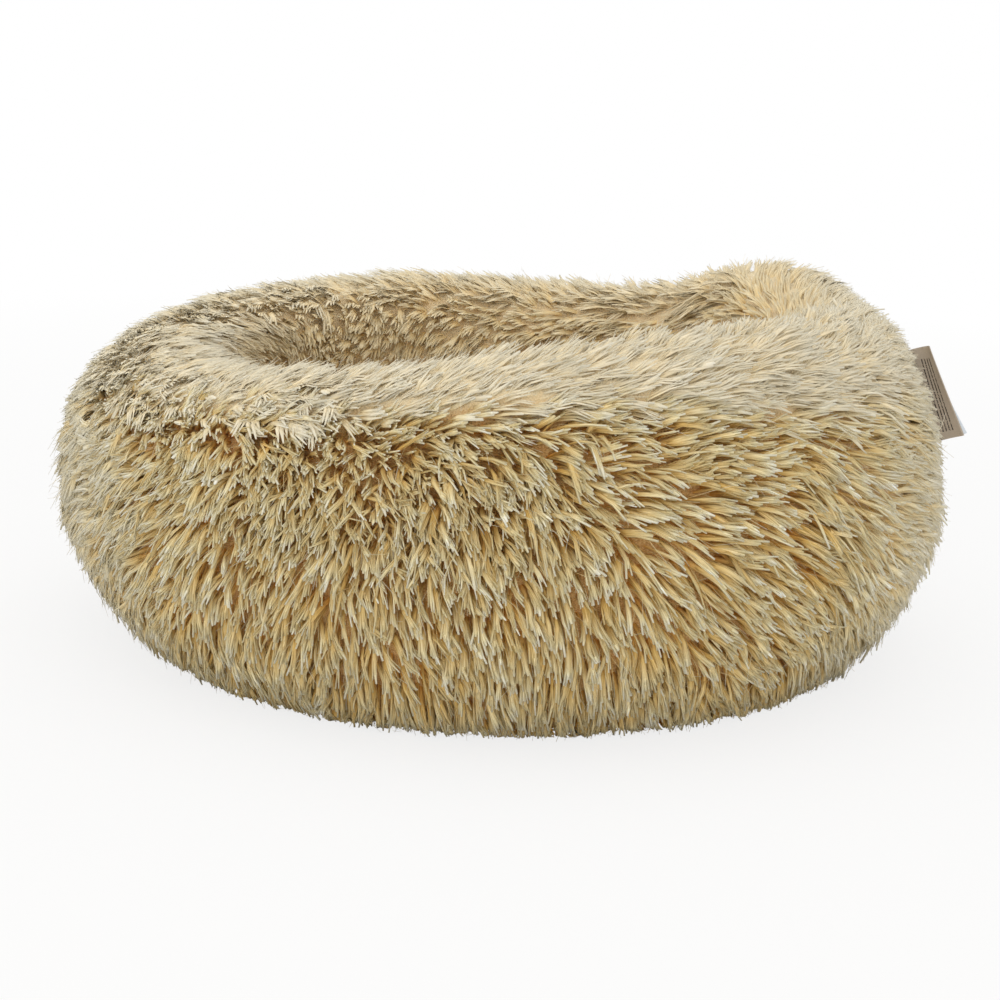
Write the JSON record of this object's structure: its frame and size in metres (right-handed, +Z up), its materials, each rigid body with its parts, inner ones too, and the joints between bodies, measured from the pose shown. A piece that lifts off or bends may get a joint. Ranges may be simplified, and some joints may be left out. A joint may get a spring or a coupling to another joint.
{
  "type": "round pet bed",
  "caption": "Round sunken pet bed with a stuffed long-pile plush ring wall, a plush sleeping pad and a flat cloth base.",
  "frame": {"origin": "middle of the base cloth's underside, on the floor", "axes": "+Z up through the hollow; -Y is the front that the picture shows, +X is the fuller side with the labels"},
  "size_m": [0.5268, 0.4906, 0.2095],
  "materials": {
    "cream_plush": "long clumped polyester pile, cream tips over golden tan roots, on a brown knitted backing",
    "inner_plush": "the same long pile, seen in the shade of the hollow",
    "polyester_fibre": "loose white hollow-fibre wadding",
    "coated_base_cloth": "plain-woven cloth, coated, with small printed grip dots",
    "seam_tape": "woven polyester tape",
    "label_cloth": null,
    "white_label_cloth": "thin white satin label cloth"
  },
  "bodies": {
    "root": {"outer_wall_cover": "cream_plush", "inner_wall_cover": "cream_plush", "wall_filling": "polyester_fibre", "pad_cover": "inner_plush", "pad_filling": "polyester_fibre", "base_cloth": "coated_base_cloth", "base_seam_binding": "seam_tape", "pad_seam_binding": "seam_tape", "crest_seam_binding": "seam_tape", "closing_seam_tape": "seam_tape", "care_label": "label_cloth", "back_label": "white_label_cloth"}
  },
  "joints": []
}
